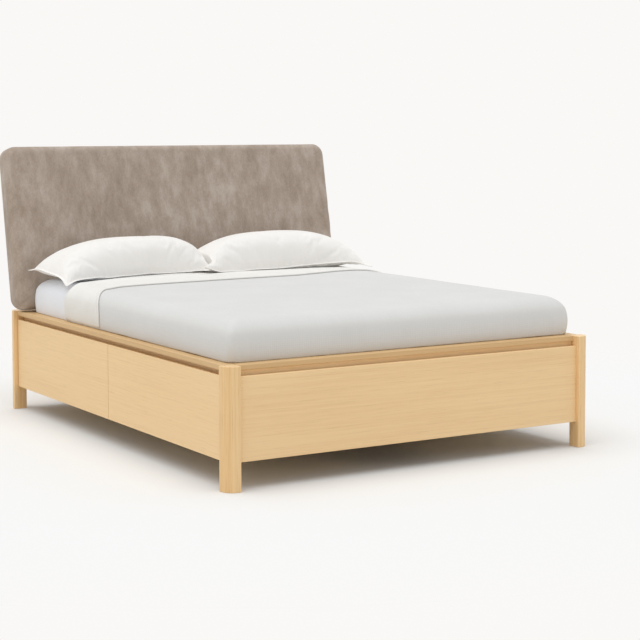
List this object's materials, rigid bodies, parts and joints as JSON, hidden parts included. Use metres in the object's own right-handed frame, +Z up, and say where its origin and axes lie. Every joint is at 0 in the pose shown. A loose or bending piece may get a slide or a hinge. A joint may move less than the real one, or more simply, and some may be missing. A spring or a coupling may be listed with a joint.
{
  "type": "storage bed with drawers",
  "caption": "Double bed with an oak frame, drawers sliding out under both sides, a slatted base, a leaning padded headboard, and made-up bedding with pillows.",
  "frame": {"origin": "on the floor, under the centre of the bed's bounding box", "axes": "+Y from the foot end towards the headboard, +X towards the right side as seen from the foot, +Z up; the drawers open along -X and +X"},
  "size_m": [1.708, 2.2232, 1.207],
  "materials": {
    "oak": "pale natural oak, fine straight grain, matt oiled surface",
    "oak_rail": "natural oak in the shade of the finger groove, matt",
    "plywood": "light birch plywood, matt",
    "beech": "waxed beech, smooth",
    "pine": "planed pine, unfinished",
    "post_wood": "turned hardwood, matt",
    "upholstery": "taupe chenille with a mottled pile",
    "fitted_sheet": "white cotton, stretched over the mattress",
    "top_sheet": "cream cotton",
    "coverlet": "light grey woven cotton",
    "pillow_cotton": "white cotton, softly creased"
  },
  "bodies": {
    "frame": {"leg_foot_left": "oak", "leg_foot_right": "oak", "leg_head_left": "oak", "leg_head_right": "oak", "side_rail_left": "oak_rail", "side_rail_right": "oak_rail", "side_cap_left": "oak", "side_cap_right": "oak", "foot_rail": "oak_rail", "head_rail": "oak_rail", "foot_panel": "oak", "head_panel": "oak", "foot_cap": "oak", "head_cap": "oak", "partition_foot": "plywood", "partition_middle": "plywood", "partition_head": "plywood", "centre_beam": "pine", "beam_leg_foot": "post_wood", "beam_leg_head": "post_wood", "slat_1": "pine", "slat_2": "pine", "slat_3": "pine", "slat_4": "pine", "slat_5": "pine", "slat_6": "pine", "slat_7": "pine", "slat_8": "pine", "slat_9": "pine", "slat_10": "pine", "slat_11": "pine", "runner_left_foot_1": "beech", "runner_left_foot_2": "beech", "runner_left_head_1": "beech", "runner_left_head_2": "beech", "runner_right_foot_1": "beech", "runner_right_foot_2": "beech", "runner_right_head_1": "beech", "runner_right_head_2": "beech", "headboard_pad": "upholstery", "headboard_board": "plywood", "headboard_strut_left": "oak_rail", "headboard_strut_right": "oak_rail", "mattress": "fitted_sheet", "top_sheet": "top_sheet", "coverlet": "coverlet", "pillow_left": "pillow_cotton", "pillow_right": "pillow_cotton"},
    "drawer_left_foot": {"drawer_front_left_foot": "oak", "drawer_box_left_foot": "plywood", "drawer_bottom_left_foot": "plywood"},
    "drawer_left_head": {"drawer_front_left_head": "oak", "drawer_box_left_head": "plywood", "drawer_bottom_left_head": "plywood"},
    "drawer_right_foot": {"drawer_front_right_foot": "oak", "drawer_box_right_foot": "plywood", "drawer_bottom_right_foot": "plywood"},
    "drawer_right_head": {"drawer_front_right_head": "oak", "drawer_box_right_head": "plywood", "drawer_bottom_right_head": "plywood"}
  },
  "joints": [
    {"name": "drawer_left_foot_slide", "type": "slide", "parent": "frame", "child": "drawer_left_foot", "axis": [-1, 0, 0], "range_m": [0, 0.48]},
    {"name": "drawer_left_head_slide", "type": "slide", "parent": "frame", "child": "drawer_left_head", "axis": [-1, 0, 0], "range_m": [0, 0.48]},
    {"name": "drawer_right_foot_slide", "type": "slide", "parent": "frame", "child": "drawer_right_foot", "axis": [1, 0, 0], "range_m": [0, 0.48]},
    {"name": "drawer_right_head_slide", "type": "slide", "parent": "frame", "child": "drawer_right_head", "axis": [1, 0, 0], "range_m": [0, 0.48]}
  ]
}
